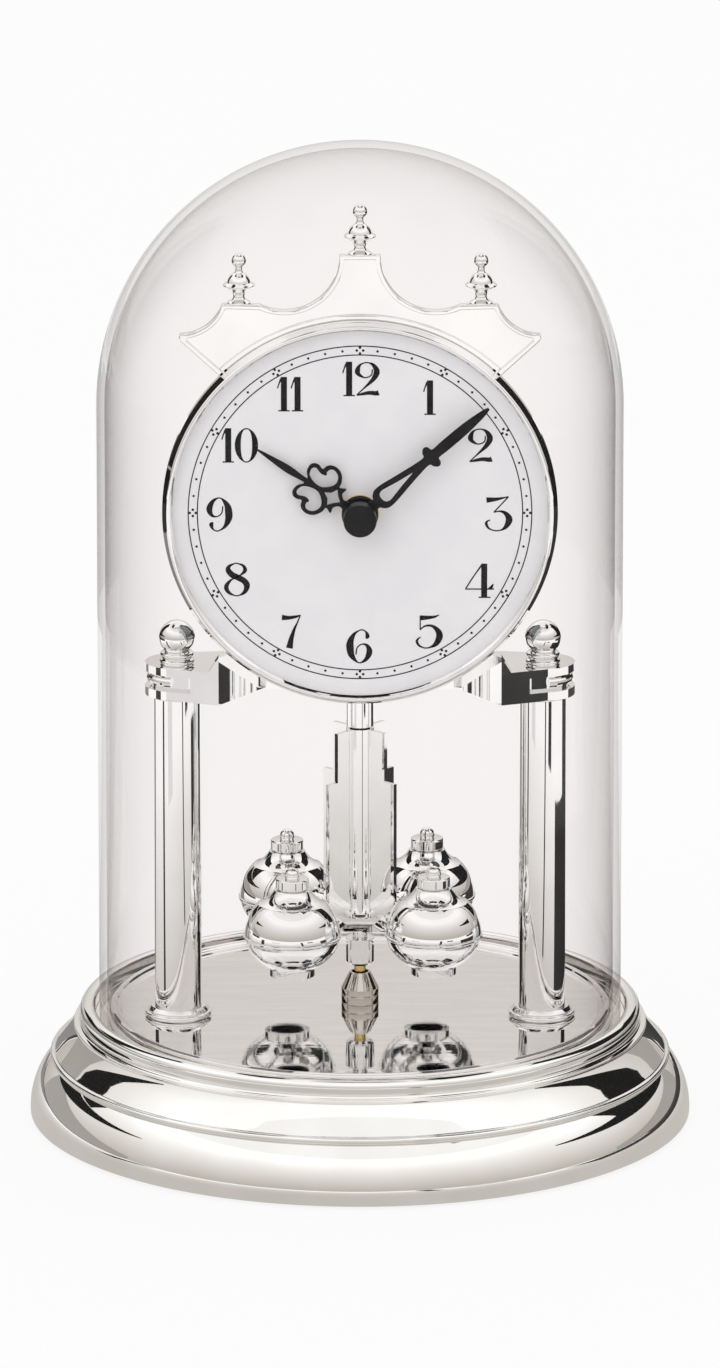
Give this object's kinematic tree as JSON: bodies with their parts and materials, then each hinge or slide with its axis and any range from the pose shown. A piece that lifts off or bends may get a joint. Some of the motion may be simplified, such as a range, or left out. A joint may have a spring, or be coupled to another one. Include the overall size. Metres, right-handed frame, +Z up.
{
  "type": "anniversary clock",
  "caption": "Quartz anniversary clock under a glass dome: arabic dial on two pillars over a slowly turning four-ball pendulum.",
  "frame": {"origin": "centre of the felt underside, on the surface the clock stands on", "axes": "+Z up along the dome's axis, -Y out of the dial towards the viewer, +X to the viewer's right"},
  "size_m": [0.15, 0.15, 0.2252],
  "materials": {
    "chrome": "polished chrome plate",
    "nickel": "polished plate over spun sheet, slightly warm",
    "mirror_plate": "mirror-polished flat plate, slightly warm grey",
    "steel": "zinc-plated steel",
    "brass": "polished brass",
    "copper": "enamelled copper wire",
    "glass": "clear blown glass",
    "dial_white": "satin white print lacquer",
    "hand_black": "satin black lacquer",
    "felt": "dark felt",
    "board": "pressed fibre board",
    "black_plastic": "fine textured moulding",
    "grey_plastic": "fine textured moulding",
    "white_plastic": "plain moulding",
    "cell_jacket": "printed foil jacket, plain",
    "board_green": "solder-mask green"
  },
  "bodies": {
    "base": {"base_shell": "nickel", "base_board": "board", "felt_pad": "felt", "base_plate": "mirror_plate", "clamp_plate": "steel", "guide_cup": "chrome", "pillar_tube_left": "chrome", "pillar_tube_right": "chrome", "pillar_foot_left": "chrome", "pillar_foot_right": "chrome", "tie_rods": "steel", "tie_nuts": "steel", "pillar_ball_left": "chrome", "pillar_ball_right": "chrome", "arm_left": "chrome", "arm_right": "chrome", "drive_housing": "chrome", "drive_cover": "black_plastic", "centre_tube": "chrome", "drive_coil": "copper", "suspension_block": "brass", "dial_plate": "dial_white", "bezel": "chrome", "crest": "chrome", "finial_centre": "chrome", "finial_left": "chrome", "finial_right": "chrome", "dial_brackets": "steel", "module_front": "grey_plastic", "module_back": "black_plastic", "centre_nut": "brass", "battery": "cell_jacket", "circuit_board": "board_green", "motor_unit": "white_plastic"},
    "dome": {"glass_dome": "glass"},
    "minute": {"minute_hand": "hand_black", "hand_cap": "hand_black", "minute_arbor": "brass"},
    "hour": {"hour_hand": "hand_black", "hour_wheel": "brass"},
    "intermediate": {"minute_wheel": "brass"},
    "setting": {"setting_knob": "white_plastic"},
    "pinion": {"drive_pinion": "brass"},
    "pendulum": {"suspension_wire": "brass", "pendulum_rod": "steel", "drive_magnet": "steel", "pendulum_tube": "chrome", "pendulum_vanes": "chrome", "pendulum_dish": "chrome", "pendulum_sleeve": "chrome", "pendulum_pin": "brass", "ball_1_upper": "chrome", "ball_2_upper": "chrome", "ball_3_upper": "chrome", "ball_4_upper": "chrome", "ball_1_lower": "chrome", "ball_2_lower": "chrome", "ball_3_lower": "chrome", "ball_4_lower": "chrome", "ball_caps": "chrome"}
  },
  "joints": [
    {"name": "minute_spin", "type": "hinge", "parent": "base", "child": "minute", "pos_m": [0, -0.01, 0.1448], "axis": [0, 1, 0], "continuous": true},
    {"name": "hour_spin", "type": "hinge", "parent": "base", "child": "hour", "pos_m": [0, -0.012, 0.1448], "axis": [0, 1, 0], "continuous": true},
    {"name": "intermediate_spin", "type": "hinge", "parent": "base", "child": "intermediate", "pos_m": [0.00919, -0.0105, 0.15251], "axis": [0, 1, 0], "continuous": true},
    {"name": "setting_spin", "type": "hinge", "parent": "base", "child": "setting", "pos_m": [0.01839, 0, 0.16023], "axis": [0, 1, 0], "continuous": true},
    {"name": "pinion_spin", "type": "hinge", "parent": "base", "child": "pinion", "pos_m": [-0.00883, -0.008, 0.1499], "axis": [0, 1, 0], "continuous": true},
    {"name": "pendulum_turn", "type": "hinge", "parent": "base", "child": "pendulum", "pos_m": [0, 0.005, 0.045], "axis": [0, 0, 1], "range_deg": [-132.4, 127.6]},
    {"name": "dome_lift", "type": "slide", "parent": "base", "child": "dome", "axis": [0, 0, 1], "range_m": [0, 0.2]}
  ],
  "couplings": [
    {"joint": "hour_spin", "follows": "minute_spin", "ratio": 0.083333},
    {"joint": "intermediate_spin", "follows": "minute_spin", "ratio": -0.33333},
    {"joint": "setting_spin", "follows": "minute_spin", "ratio": 1},
    {"joint": "pinion_spin", "follows": "minute_spin", "ratio": -7.5}
  ]
}
